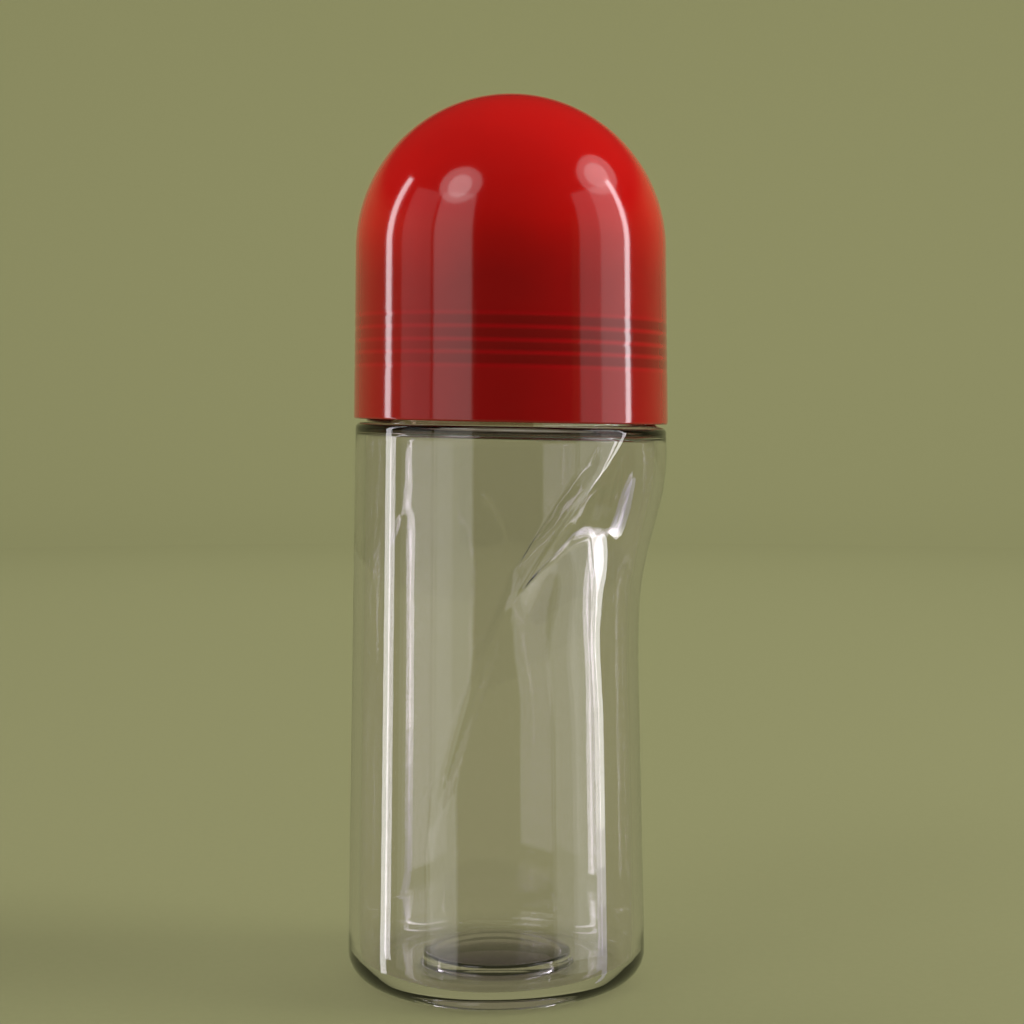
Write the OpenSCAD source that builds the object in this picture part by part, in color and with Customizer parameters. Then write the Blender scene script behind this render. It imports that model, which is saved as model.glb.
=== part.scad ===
// Roll-on bottle with a scooped grip, a snap-in ball housing and a domed screw cap.
// Millimetres. The origin is on the axis of the cap and neck, in the plane that the bottle stands on.
// The scoop faces +X. The bottle is the same on both sides of the XZ plane.

/* [Bottle body] */
// Height from the base to the shoulder
shoulder_z = 69; // [60:0.5:85]
// How much wider the radius is at the base than at the shoulder
body_flare = 1.2; // [0:0.1:2]
// Thickness of the body wall
body_wall = 1.3; // [0.8:0.1:1.8]
// Radius of the outer corner round the base
base_corner_r = 3.5; // [2.5:0.1:5]
// Radius of the outer edge of the shoulder
shoulder_edge_r = 0.7; // [0.3:0.1:1]

/* [Scooped grip] */
// Depth of the scoop at the side, at the base
grip_depth = 3.65; // [2.5:0.05:4.5]
// How much deeper the scoop would be at the shoulder
grip_deepening = 0.4; // [0:0.05:0.8]
// How far the round of the scoop's floor is moved away from the side
grip_shift = 2.8; // [2:0.1:3.5]
// How far below the shoulder the scoop starts at the side
scoop_drop = 6.6; // [4:0.1:10]
// How far below the shoulder each flank of the scoop starts
flank_drop = 5.5; // [4:0.1:10]
// Turn from the side to the middle of each flank, in degrees
flank_turn = 51; // [40:1:60]
// Lean of the scoop's wall from upright, in degrees
scoop_lean = 14.7; // [10:0.1:20]
// Depth of the swell under each flank at the side, taken at the shoulder
swell_depth = 2.15; // [1.8:0.05:3]
// How much deeper the swell is at its foot
swell_fall = 3.3; // [2.5:0.1:4]
// How far the round of the swell is moved away from the side, at the shoulder
swell_shift = 4.9; // [4:0.1:5.5]
// How much less it is moved at its foot
swell_shift_fall = 2; // [1:0.1:2.5]
// Height of the swell's foot above the base
swell_foot_z = 20; // [15:1:30]

/* [Base] */
// Thickness of the bottom
floor_t = 1.8; // [1.2:0.1:2.4]
// Radius of the boss pushed up in the bottom
punt_r = 9.3; // [7:0.1:10]
// Height of the boss above the bottom, at its edge
punt_h = 1.7; // [1:0.1:2.5]
// Rise of the boss from its edge to its crown
punt_crown = 0.6; // [0.3:0.1:1]
// How far the boss lies from the neck's axis, away from the scoop
punt_shift = 1.8; // [0:0.1:2.5]

/* [Neck] */
// Height of the neck above the shoulder
neck_h = 13.4; // [11:0.1:16]
// Thickness of the neck wall
neck_wall = 1.6; // [1.2:0.1:2.2]
// Room between the neck and the cap for the screw thread
thread_room = 1.3; // [1:0.1:1.8]

/* [Roller ball] */
// Diameter of the ball
ball_d = 29; // [25:0.1:36]
// Running gap between the ball and its socket
ball_gap = 0.15; // [0.1:0.01:0.2]
// Height of the ball's centre above the neck
ball_rise = 5.6; // [4.5:0.1:6.5]

/* [Ball housing] */
// Thickness of the socket wall
socket_wall = 1.4; // [1:0.1:1.8]
// Least wall between the ball's socket and the neck, at the top of the neck
plug_wall = 1.4; // [1:0.1:2]
// Gap between the plug and the bore of the neck
plug_fit = 0.05; // [0.02:0.01:0.1]
// Depth of the plug in the neck
plug_depth = 9; // [6:0.1:10]
// Thickness of the plug's skirt
skirt_t = 1.1; // [0.8:0.1:1.4]
// Thickness of the flange on top of the neck
flange_t = 1.2; // [0.8:0.1:1.6]
// Step from the edge of the neck in to the edge of the flange
flange_step = 0.2; // [0:0.1:0.5]
// Angle above the ball's middle at which the lip ends, in degrees
lip_angle = 20; // [14:1:28]
// Radius of the feed hole under the ball
feed_r = 5; // [3:0.1:6]
// Number of feed slots round the hole
feed_slots = 6; // [3:1:8]
// Width of a feed slot
slot_w = 1.2; // [0.8:0.1:1.6]
// How far a feed slot runs out from the hole
slot_run = 2.2; // [1:0.1:3]

/* [Cap] */
// Thickness of the cap wall
cap_wall = 1.3; // [1:0.1:1.8]
// How much wider the radius is at the rim than at the dome
cap_draft = 0.3; // [0:0.05:0.6]
// How far the rim stands out over the shoulder
cap_overhang = 0.2; // [0:0.05:0.5]
// Gap between the rim and the shoulder
rim_gap = 0.5; // [0.3:0.05:0.9]
// Height of the dome's centre above the ball's centre
dome_lift = 2.6; // [2:0.1:4]
// Height of the bead that holds the liner
bead_h = 0.8; // [0.5:0.1:1.2]
// How far that bead stands in from the wall
bead_in = 0.5; // [0.3:0.1:0.8]

/* [Cap liner] */
// Thickness of the liner
liner_t = 0.9; // [0.6:0.1:1.1]
// Gap between the liner and the cap
liner_gap = 0.1; // [0.05:0.01:0.15]
// Height of the liner's straight rim below the dome's centre
liner_rim_h = 0.7; // [0.4:0.1:1.5]
// Radius of the middle of the ring that closes on the ball
seal_r = 10.1; // [7:0.1:11]
// Thickness of that ring
seal_t = 1; // [0.7:0.1:1.4]
// Gap between that ring and the ball
seal_gap = 0.2; // [0.1:0.01:0.3]

/* [Smoothness] */
// Number of flats round a full circle in the preview
round_steps = 96; // [48:8:192]

/* [Hidden] */
$fn = round_steps;

// Overrun of every cut
overrun = 1;

// Heights
neck_top_z = shoulder_z + neck_h;
ball_z = neck_top_z + ball_rise;
dome_z = ball_z + dome_lift;
rim_z = shoulder_z + rim_gap;
liner_rim_z = dome_z - liner_rim_h;

// Radii, from the ball outwards
ball_r = ball_d / 2;
socket_r = ball_r + ball_gap;
plug_r = sqrt(pow(socket_r, 2) - pow(ball_rise, 2)) + plug_wall;
bore_r = plug_r + plug_fit;
neck_r = bore_r + neck_wall;
dome_in_r = neck_r + thread_room;
dome_r = dome_in_r + cap_wall;
cap_rim_r = dome_r + cap_draft;
body_top_r = cap_rim_r - cap_overhang;
body_base_r = body_top_r + body_flare;

// Reach of the cuts and half spaces, past the whole bottle
reach = 2 * (dome_z + dome_r);

// Scoop
scoop_top_z = shoulder_z - scoop_drop;
flank_top_z = shoulder_z - flank_drop;
grip_base_r = body_base_r - grip_depth + grip_shift;
grip_top_r = body_top_r - grip_depth - grip_deepening + grip_shift;
swell_top_r = body_top_r - swell_depth + swell_shift;
swell_foot_shift = swell_shift - swell_shift_fall;
swell_foot_r = body_r(swell_foot_z) - swell_depth - swell_fall + swell_foot_shift;
swell_tilt = atan(swell_shift_fall / (shoulder_z - swell_foot_z));

// Base
punt_top_z = floor_t + punt_h;
punt_recess_r = punt_r - body_wall;
punt_recess_z = punt_top_z - floor_t;

// Radius of the round body at a height
function body_r(z) = body_base_r + (body_top_r - body_base_r) * z / shoulder_z;

// Radius of a sphere whose cap has this base radius and this rise
function crown_r(base, rise) = (pow(base, 2) + pow(rise, 2)) / (2 * rise);

// Half outline of a slightly conical tub with rounded corners, from the axis outwards
module tub_outline(r_low, r_high, z_low, z_high, corner_low, corner_high) {
    r_corner_low = r_low + (r_high - r_low) * corner_low / (z_high - z_low);
    r_corner_high = r_high + (r_low - r_high) * corner_high / (z_high - z_low);
    difference() {
        union() {
            polygon([[0, z_low + corner_low], [r_corner_low, z_low + corner_low],
                     [r_corner_high, z_high - corner_high], [0, z_high - corner_high]]);
            translate([0, z_low])
                square([r_corner_low - corner_low, corner_low + overrun]);
            translate([r_corner_low - corner_low, z_low + corner_low])
                circle(r = corner_low);
            translate([0, z_high - corner_high - overrun])
                square([r_corner_high - corner_high, corner_high + overrun]);
            translate([r_corner_high - corner_high, z_high - corner_high])
                circle(r = corner_high);
        }
        translate([-reach, -reach / 2])
            square([reach, 2 * reach]);
    }
}

// The full round body, drawn in by inset
module round_body(inset, z_low, z_high) {
    rotate_extrude()
        tub_outline(body_r(z_low) - inset, body_r(z_high) - inset, z_low, z_high,
                    base_corner_r - inset, shoulder_edge_r);
}

// The floor of the scoop: a second round, moved away from the side
module grip_round(inset, z_low, z_high) {
    r_low = grip_base_r + (grip_top_r - grip_base_r) * z_low / shoulder_z - inset;
    r_high = grip_base_r + (grip_top_r - grip_base_r) * z_high / shoulder_z - inset;
    translate([-grip_shift, 0, 0])
        rotate_extrude()
            tub_outline(r_low, r_high, z_low, z_high, base_corner_r - inset, shoulder_edge_r);
}

// The swell that brings the floor of the scoop back out to the body under each flank
module swell_round(inset) {
    swell_h = (shoulder_z - swell_foot_z) / cos(swell_tilt);
    translate([-swell_foot_shift, 0, swell_foot_z])
        rotate([0, -swell_tilt, 0])
            cylinder(r1 = swell_foot_r - inset, r2 = swell_top_r - inset, h = swell_h + overrun);
}

// All space inside a plane that leans out from the axis, starting from it at foot_z
module half_space(turn, lean, foot_z, inset) {
    translate([0, 0, foot_z])
        rotate([0, 0, turn])
            rotate([0, lean, 0])
                translate([-reach - inset, -reach, -reach])
                    cube([reach, 2 * reach, 2 * reach]);
}

// Everything inside the leaning wall of the scoop: a cone at the side, between two flat flanks
module scoop_wall(inset) {
    cone_foot_z = scoop_top_z - body_r(scoop_top_z) / tan(scoop_lean);
    flank_foot_z = flank_top_z - body_r(flank_top_z) / tan(scoop_lean);
    chord_lean = atan(tan(scoop_lean) * cos(flank_turn));
    cone_low_z = max(cone_foot_z, 0) + 2 * inset / tan(scoop_lean);
    cone_low_r = (cone_low_z - cone_foot_z) * tan(scoop_lean) - inset / cos(scoop_lean);
    cone_high_z = shoulder_z + overrun;
    cone_high_r = (cone_high_z - cone_foot_z) * tan(scoop_lean) - inset / cos(scoop_lean);
    intersection() {
        half_space(flank_turn, scoop_lean, flank_foot_z, inset);
        half_space(-flank_turn, scoop_lean, flank_foot_z, inset);
        union() {
            half_space(0, chord_lean, flank_foot_z, inset * cos(flank_turn));
            translate([0, 0, cone_low_z])
                cylinder(r1 = cone_low_r, r2 = cone_high_r, h = cone_high_z - cone_low_z);
        }
    }
}

// The scooped body, drawn in by inset
module scooped_body(inset, z_low, z_high) {
    intersection() {
        round_body(inset, z_low, z_high);
        union() {
            scoop_wall(inset);
            grip_round(inset, z_low, z_high);
            swell_round(inset);
        }
    }
}

// Round boss with a crowned top
module punt(r, z_low, z_edge) {
    crown = crown_r(r, punt_crown);
    translate([-punt_shift, 0, 0])
        intersection() {
            translate([0, 0, z_low])
                cylinder(r = r, h = z_edge + punt_crown - z_low + overrun);
            translate([0, 0, z_edge + punt_crown - crown])
                sphere(r = crown);
        }
}

module bottle() {
    color("lavender", 0.4)
        difference() {
            union() {
                scooped_body(0, 0, shoulder_z);
                translate([0, 0, shoulder_z - body_wall])
                    cylinder(r = neck_r, h = neck_h + body_wall);
            }
            difference() {
                scooped_body(body_wall, floor_t, shoulder_z - body_wall);
                punt(punt_r, 0, punt_top_z);
            }
            punt(punt_recess_r, -overrun, punt_recess_z);
            translate([0, 0, shoulder_z - body_wall - overrun])
                cylinder(r = bore_r, h = neck_h + body_wall + 2 * overrun);
        }
}

module ball_housing() {
    shell_r = socket_r + socket_wall;
    lip_z = ball_z + socket_r * sin(lip_angle);
    color("whitesmoke")
        difference() {
            rotate_extrude()
                difference() {
                    union() {
                        translate([0, ball_z])
                            circle(r = shell_r);
                        translate([plug_r - skirt_t, neck_top_z - plug_depth])
                            square([skirt_t, plug_depth + flange_t]);
                        translate([plug_r - skirt_t, neck_top_z])
                            square([neck_r - flange_step - plug_r + skirt_t, flange_t]);
                    }
                    translate([0, ball_z])
                        circle(r = socket_r);
                    translate([0, lip_z])
                        square([reach, reach]);
                    translate([-reach, -reach])
                        square([reach + feed_r, reach + ball_z]);
                    translate([-reach, 0])
                        square([reach, reach]);
                    translate([plug_r, 0])
                        square([reach, neck_top_z]);
                }
            for (i = [0 : feed_slots - 1])
                rotate([0, 0, 360 * i / feed_slots])
                    translate([feed_r - overrun, -slot_w / 2, ball_z - shell_r - overrun])
                        cube([slot_run + overrun, slot_w, shell_r]);
        }
}

module roller_ball() {
    color("ivory")
        translate([0, 0, ball_z])
            sphere(r = ball_r);
}

module cap_liner() {
    out_r = dome_in_r - liner_gap;
    in_r = out_r - liner_t;
    color("white")
        rotate_extrude()
            difference() {
                union() {
                    difference() {
                        union() {
                            translate([0, dome_z])
                                circle(r = out_r);
                            translate([0, liner_rim_z])
                                square([out_r, liner_rim_h]);
                        }
                        translate([0, dome_z])
                            circle(r = in_r);
                        translate([0, liner_rim_z - overrun])
                            square([in_r, liner_rim_h + overrun]);
                    }
                    intersection() {
                        translate([seal_r - seal_t / 2, ball_z])
                            square([seal_t, reach]);
                        translate([0, dome_z])
                            circle(r = out_r);
                    }
                }
                translate([0, ball_z])
                    circle(r = ball_r + seal_gap);
                translate([0, liner_rim_z - reach])
                    square([reach, reach]);
                translate([-reach, 0])
                    square([reach, 2 * reach]);
            }
}

module cap() {
    bead_top_z = liner_rim_z - liner_gap;
    rim_in_r = cap_rim_r - cap_wall;
    color("firebrick")
        rotate_extrude()
            difference() {
                union() {
                    translate([0, dome_z])
                        circle(r = dome_r);
                    polygon([[0, rim_z], [cap_rim_r, rim_z], [dome_r, dome_z], [0, dome_z]]);
                }
                translate([0, dome_z])
                    circle(r = dome_in_r);
                translate([0, bead_top_z])
                    square([dome_in_r, dome_z - bead_top_z]);
                polygon([[0, rim_z - overrun], [rim_in_r, rim_z - overrun], [rim_in_r, rim_z],
                         [dome_in_r, bead_top_z - bead_h], [0, bead_top_z - bead_h]]);
                translate([0, bead_top_z - bead_h - overrun])
                    square([dome_in_r - bead_in, bead_h + 2 * overrun]);
                translate([0, rim_z - reach])
                    square([reach, reach]);
                translate([-reach, 0])
                    square([reach, 2 * reach]);
            }
}

bottle();
ball_housing();
roller_ball();
cap_liner();
cap();
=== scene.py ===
"""Looks of a clear roll-on bottle with a domed red cap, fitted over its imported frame."""

import logging
import math
from dataclasses import dataclass, field
from enum import Enum

import bpy
import numpy as np
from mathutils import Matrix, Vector


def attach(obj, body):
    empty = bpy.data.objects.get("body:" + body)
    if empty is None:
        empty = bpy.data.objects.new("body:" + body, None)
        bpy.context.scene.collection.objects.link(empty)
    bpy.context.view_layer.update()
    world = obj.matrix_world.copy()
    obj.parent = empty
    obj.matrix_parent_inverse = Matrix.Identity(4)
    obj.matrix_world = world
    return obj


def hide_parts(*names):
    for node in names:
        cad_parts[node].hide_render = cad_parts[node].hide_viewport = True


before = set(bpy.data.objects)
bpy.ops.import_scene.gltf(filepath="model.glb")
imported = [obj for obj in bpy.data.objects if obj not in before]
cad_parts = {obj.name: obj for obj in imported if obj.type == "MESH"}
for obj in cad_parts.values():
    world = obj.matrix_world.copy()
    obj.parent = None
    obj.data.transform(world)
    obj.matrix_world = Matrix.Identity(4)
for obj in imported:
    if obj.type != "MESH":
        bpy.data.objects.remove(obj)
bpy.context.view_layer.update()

MM = 0.001
FULL_TURN = 2 * math.pi

log = logging.getLogger("roll_on_bottle")

Colour = tuple[float, float, float]
Point = tuple[float, float, float]
Pair = tuple[float, float]
Array = np.ndarray
Measure = float | Array
Node = bpy.types.Node
Socket = bpy.types.NodeSocket
Source = Socket | float | Colour

# Heights of the faint rings that the thread leaves on the outside of the cap, in millimetres.
RING_HEIGHTS = (82.16, 80.6, 79.05, 77.6, 76.02)
# What most of a noise texture's values lie between.
NOISE_RANGE = (0.3, 0.7)


class Shape(Enum):
    """Outline of a lamp."""

    PANEL = "RECTANGLE"
    ROUND = "ELLIPSE"


def smooth_least(a: Array, b: Array, blend: Measure) -> Array:
    """The smaller of two radii, rounded where they differ by less than blend."""
    share = np.clip(0.5 + 0.5 * (b - a) / blend, 0, 1)
    return b + (a - b) * share - blend * share * (1 - share)


def smooth_most(a: Array, b: Array, blend: Measure) -> Array:
    """The larger of two radii, rounded where they differ by less than blend."""
    return -smooth_least(-a, -b, blend)


def ease(value: Array) -> Array:
    """A soft step from 0 to 1 as value goes from 0 to 1."""
    held = np.clip(value, 0, 1)
    return held * held * (3 - 2 * held)


def across(radius: float, off: Measure) -> Measure:
    """Half the width of a circle or ball, this far off its middle."""
    return np.sqrt(radius**2 - np.square(off))


def part_way(start: Measure, end: Measure, share: Measure) -> Measure:
    """What lies this share of the way from start to end."""
    return start + (end - start) * share


def even_turns(count: int) -> Array:
    """Evenly spread turns of the points round a ring, in radians."""
    return np.linspace(0, FULL_TURN, count, endpoint=False)


def ring(turns: Array, radius: Measure, height: Measure, centre_x: float = 0) -> Array:
    """Points round an upright axis at centre_x, at these turns from +X in radians, as rows of x, y and z."""
    radii, heights = (np.broadcast_to(value, turns.shape) for value in (radius, height))
    return np.stack([centre_x + radii * np.cos(turns), radii * np.sin(turns), heights], axis=1)


def corner(start: float, end: float, steps: int) -> list[Pair]:
    """Outward and upward share of a rounded corner's radius, from one angle to another in degrees from level."""
    angles = np.radians(np.linspace(start, end, steps + 1))
    return [(math.cos(a), math.sin(a)) for a in angles]


def place_object(name: str, data: bpy.types.ID) -> bpy.types.Object:
    """Makes an object in the scene.

    Args:
        name: Name of the object.
        data: Its mesh, lamp or camera.

    Returns:
        The new object.
    """
    made = bpy.data.objects.new(name, data)
    bpy.context.scene.collection.objects.link(made)
    return made


def place_mesh(name: str, points: Array, faces: list[list[int]], smooth: bool = True) -> bpy.types.Object:
    """Makes a mesh object in the scene.

    Args:
        name: Name of the object.
        points: Its points, in metres.
        faces: Numbers of the points of each face.
        smooth: True for smooth shading.

    Returns:
        The new object.
    """
    mesh = bpy.data.meshes.new(name)
    mesh.from_pydata(points.tolist(), [], faces)
    if smooth:
        mesh.shade_smooth()
    mesh.update()
    return place_object(name, mesh)


def quads_between(rings: int, count: int) -> Array:
    """Faces between neighbouring rings.

    Args:
        rings: Number of rings.
        count: Number of points on each ring.

    Returns:
        Four point numbers for each face.
    """
    here = np.arange(count)
    after = (here + 1) % count
    first = np.stack([here, after, count + after, count + here], axis=1)
    return np.concatenate([first + row * count for row in range(rings - 1)])


@dataclass
class Skin:
    """A closed surface made of rings round an upright axis, in millimetres.

    Its ends run into two poles. Where it has none, the last ring joins the first.
    """

    name: str
    turns: Array
    poles: tuple[Point, Point] | None = None
    rings: list[Array] = field(default_factory=list)

    def add(self, radius: Measure, height: Measure, centre_x: float = 0) -> None:
        """Puts on one more ring."""
        self.rings.append(ring(self.turns, radius, height, centre_x))

    def reach(self, radius: Measure, height: Measure, steps: int, centre_x: float = 0) -> None:
        """Fills the way from the last ring to a new one in even steps."""
        first, last = self.rings[-1], ring(self.turns, radius, height, centre_x)
        self.rings.extend(part_way(first, last, step / steps) for step in range(1, steps + 1))

    def bend(self, radius: Measure, height: Measure, size: float, angles: Pair, steps: int,
             flat: float = 1, centre_x: float = 0) -> None:
        """Adds the rings of a rounded corner.

        Args:
            radius: Radius at the middle of the rounding.
            height: Height of that middle.
            size: Radius of the rounding.
            angles: Its first and last angle, in degrees from level outwards.
            steps: Number of steps between them.
            flat: Its height as a share of its width.
            centre_x: Where the ring's axis stands on X.
        """
        for out, up in corner(*angles, steps):
            self.add(radius + size * out, height + size * flat * up, centre_x)

    def build(self) -> bpy.types.Object:
        """Makes the mesh object, with its faces turned outwards.

        Returns:
            The new object, in the scene, in metres.
        """
        rows, count = len(self.rings), len(self.turns)
        points = np.concatenate(self.rings)
        if self.poles is None:
            quads, fans = quads_between(rows + 1, count) % len(points), np.empty((0, 3), dtype=int)
        else:
            quads = quads_between(rows, count)
            here, after = quads[:count, 0], quads[:count, 1]
            low, last = np.full(count, len(points)), len(points) - count
            fans = np.concatenate([np.stack([low, after, here], axis=1),
                                   np.stack([low + 1, last + here, last + after], axis=1)])
            points = np.concatenate([points, self.poles])
        a, b, c = points[np.concatenate([quads[:, [0, 1, 2]], quads[:, [0, 2, 3]], fans])].swapaxes(0, 1)
        volume = np.einsum("ij,ij->", a, np.cross(b, c))
        if volume < 0:
            quads, fans = quads[:, ::-1], fans[:, ::-1]
        return place_mesh(self.name, points * MM, quads.tolist() + fans.tolist())


@dataclass(frozen=True)
class Thread:
    """One right-hand screw thread, as a ridge on a round wall."""

    start_z: float
    depth: float
    pitch: float = 3.2
    turns_count: float = 2.0
    crest: float = 0.3
    flank: float = 0.5
    run_out: float = 0.09

    def rise(self, turns: Array, height: float) -> Array:
        """How far the ridge stands out of the wall.

        Args:
            turns: Turn of each point, in radians.
            height: Height of the points.

        Returns:
            The rise of the ridge at each point.
        """
        rise = np.zeros_like(turns)
        whole = (turns / FULL_TURN) % 1
        for lap in range(math.ceil(self.turns_count) + 1):
            way = whole + lap
            off = np.abs(height - self.start_z - self.pitch * way)
            ridge = ease(1 - (off - self.crest) / self.flank)
            ends = ease(way / self.run_out) * ease((self.turns_count - way) / self.run_out)
            rise = np.maximum(rise, self.depth * ridge * ends)
        return rise


@dataclass(frozen=True)
class Course:
    """A value that changes with the turn from the scoop's middle, drawn through stations and evened out.

    Each station is a turn in degrees and the value there. Before the first and after the last the value stays.
    """

    stations: tuple[Pair, ...]
    evened: float = 4.0
    samples: int = 9
    taper: float = 0.9

    def at(self, turns: Array) -> Array:
        """The value at each turn.

        Args:
            turns: Turn of each point from +X, in radians, to either side.

        Returns:
            The value at each point.
        """
        degrees, values = zip(*self.stations)
        here = np.degrees(np.abs(turns))
        offsets = np.linspace(-1, 1, self.samples)
        shares = 1 - offsets**2 * self.taper
        total = sum(share * np.interp(np.abs(here + self.evened * off), degrees, values)
                    for off, share in zip(offsets, shares))
        return total / shares.sum()


@dataclass
class ScoopedForm:
    """Outside form of the bottle's body: a round tub with a scooped grip.

    A leaf-shaped facet lies between the ridge and the crease. Below it a flat flank runs on down to both sides, and
    the scoop's side rises as a leaning wall.
    """

    shoulder_z: float = 69.0
    base_r: float = 20.488
    top_r: float = 19.288
    grip_base_r: float = 19.638
    grip_top_r: float = 18.038
    grip_shift: float = 2.8
    swell_foot_z: float = 20.0
    swell_foot_r: float = 17.59
    swell_top_r: float = 22.04
    swell_foot_shift: float = 2.9
    swell_top_shift: float = 4.9
    cone_foot_z: float = -11.56
    cone_fall: float = 0.88
    cone_fall_turn: float = math.radians(33)
    flank_foot_z: float = -10.39
    flank_turn: float = math.radians(51)
    flank_reach: float = 1.4
    lean: float = math.radians(14.7)
    ridge_z: Course = Course(((0, 70.0), (20, 69.0), (33, 67.4), (44, 66.4), (50, 65.4), (57.6, 63.4), (67.5, 60.0),
                              (75, 56.4), (80, 54.0), (85.5, 50.9), (90, 48.4)), evened=3.0)
    facet_slope: Course = Course(((0, 0.26), (44, 0.30), (57.6, 0.34), (67.5, 0.40), (75, 0.47), (80, 0.56),
                                  (85, 0.66), (90, 0.7)))
    facet_draw: Course = Course(((44, 1.0), (57.6, 0.90), (67.5, 0.80), (75, 0.82), (80, 0.88), (86, 0.94)))
    facet_end: float = math.radians(86)
    facet_fade: float = math.radians(6)
    dent: Course = Course(((17, 0), (29, 0.33), (38, 0.72), (45, 0.97), (51, 1.1), (60, 1.1), (67, 1.05),
                           (73, 1.0), (79, 0.85), (83, 0.55), (87, 0.15), (91, 0.0)), evened=3.5)
    dent_z: Course = Course(((0, 56.5), (58, 56.3), (66, 55.6), (73, 54.2), (80, 52.2), (85.5, 50.2), (90, 49.0)))
    dent_reach: float = 5.0
    dent_lean: float = 0.018
    dent_level_z: float = 56.5
    lean_end: float = math.radians(45)
    lean_fade: float = math.radians(12)
    ridge_blend: Course = Course(((35, 1.0), (46, 0.9), (58, 0.38), (70, 0.25), (78, 0.19), (86, 0.18),
                                  (94, 0.3), (110, 0.5)), evened=3.0)
    crease_blend: Course = Course(((0, 0.9), (40, 0.6), (52, 0.4), (64, 0.28), (76, 0.2), (86, 0.18), (94, 0.25),
                                   (110, 0.4)), evened=3.0)
    valley_blend: float = 0.4
    floor_blend: float = 0.35
    tip_turn: float = math.radians(87)
    least_wall: float = 0.9
    crowding: Pair = (1.8, 1.9)
    ladder_rungs: int = 600

    def round_r(self, height: Array, inset: float) -> Array:
        """Radius of the round tub."""
        return part_way(self.base_r, self.top_r, height / self.shoulder_z) - inset

    @staticmethod
    def off_centre_r(turns: Array, radius: Array, shift: Array) -> Array:
        """Distance at each turn from the neck's axis to a circle whose centre is shifted towards -X."""
        return np.sqrt(radius**2 - (shift * np.sin(turns)) ** 2) - shift * np.cos(turns)

    def floor_r(self, turns: Array, height: Array, inset: float) -> Array:
        """Radius of the scoop's floor, with the swell under each flank and the dent under each facet.

        Args:
            turns: Turn of each point, in radians.
            height: Height of each point.
            inset: How far the surface is drawn in.

        Returns:
            The radius at each point.
        """
        grip_r = part_way(self.grip_base_r, self.grip_top_r, height / self.shoulder_z) - inset
        grip = self.off_centre_r(turns, grip_r, self.grip_shift)
        way = (height - self.swell_foot_z) / (self.shoulder_z - self.swell_foot_z)
        swell_r = part_way(self.swell_foot_r, self.swell_top_r, way) - inset
        swell = self.off_centre_r(turns, swell_r, part_way(self.swell_foot_shift, self.swell_top_shift, way))
        held = 1 - ease((np.abs(turns) - self.lean_end) / self.lean_fade)
        leaning = np.abs(turns) + self.dent_lean * held * (height - self.dent_level_z)
        dent = self.dent.at(leaning) * np.exp(-((height - self.dent_z.at(turns)) / self.dent_reach) ** 2)
        return smooth_most(grip, swell, self.floor_blend) - dent

    def facet_r(self, turns: Array, height: Array, inset: float) -> Array:
        """Radius of the leaf-shaped facet, which hangs down and in from the ridge."""
        ridge_z, slope = self.ridge_z.at(turns), self.facet_slope.at(turns)
        return self.round_r(ridge_z, 0) - slope * (ridge_z - height) - inset * self.facet_draw.at(turns)

    def wall_r(self, turns: Array, height: Array, inset: float) -> Array:
        """Radius of the scoop's wall: the leaning side, a facet on each side of it, and the flanks below.

        Args:
            turns: Turn of each point, in radians.
            height: Height of each point.
            inset: How far the surface is drawn in.

        Returns:
            The radius at each point.
        """
        drawn_in = inset / math.cos(self.lean)
        fall = self.cone_fall * (turns / self.cone_fall_turn) ** 2
        cone = (height - self.cone_foot_z) * math.tan(self.lean) - drawn_in - fall
        upper = smooth_most(self.facet_r(turns, height, inset), cone, self.valley_blend)
        off = np.clip(np.abs(turns) - self.flank_turn, -self.flank_reach, self.flank_reach)
        flank = ((height - self.flank_foot_z) * math.tan(self.lean) - drawn_in) / np.cos(off)
        return part_way(upper, flank, ease((np.abs(turns) - self.facet_end) / self.facet_fade))

    def radius(self, turns: Array, height: Array, inset: float = 0) -> Array:
        """Radius of the finished body.

        Args:
            turns: Turn of each point, in radians.
            height: Height of each point.
            inset: How far the surface is drawn in, for the inside of the wall.

        Returns:
            The radius at each point.
        """
        wall_r, floor_r = self.wall_r(turns, height, inset), self.floor_r(turns, height, inset)
        scoop_r = smooth_most(wall_r, floor_r, self.crease_blend.at(turns))
        return smooth_least(self.round_r(height, inset), scoop_r, self.ridge_blend.at(turns))

    def crossing(self, turns: Array, inset: float, upper: bool) -> Array:
        """Heights of the ridge or the crease, found on a fine ladder of heights.

        Args:
            turns: Turn of each point, in radians.
            inset: How far the surface is drawn in.
            upper: True for the ridge at the wall's top, False for the crease at its foot.

        Returns:
            The height at each turn.
        """
        ladder = np.linspace(self.shoulder_z - 1, self.swell_foot_z, self.ladder_rungs)
        spread, heights = np.meshgrid(turns, ladder, indexing="ij")
        wall = self.wall_r(spread, heights, inset)
        other = self.round_r(heights, inset) if upper else self.floor_r(spread, heights, inset)
        below = wall < other
        found = np.where(below.any(axis=1), below.argmax(axis=1), len(ladder) - 1)
        return ladder[found]

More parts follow.
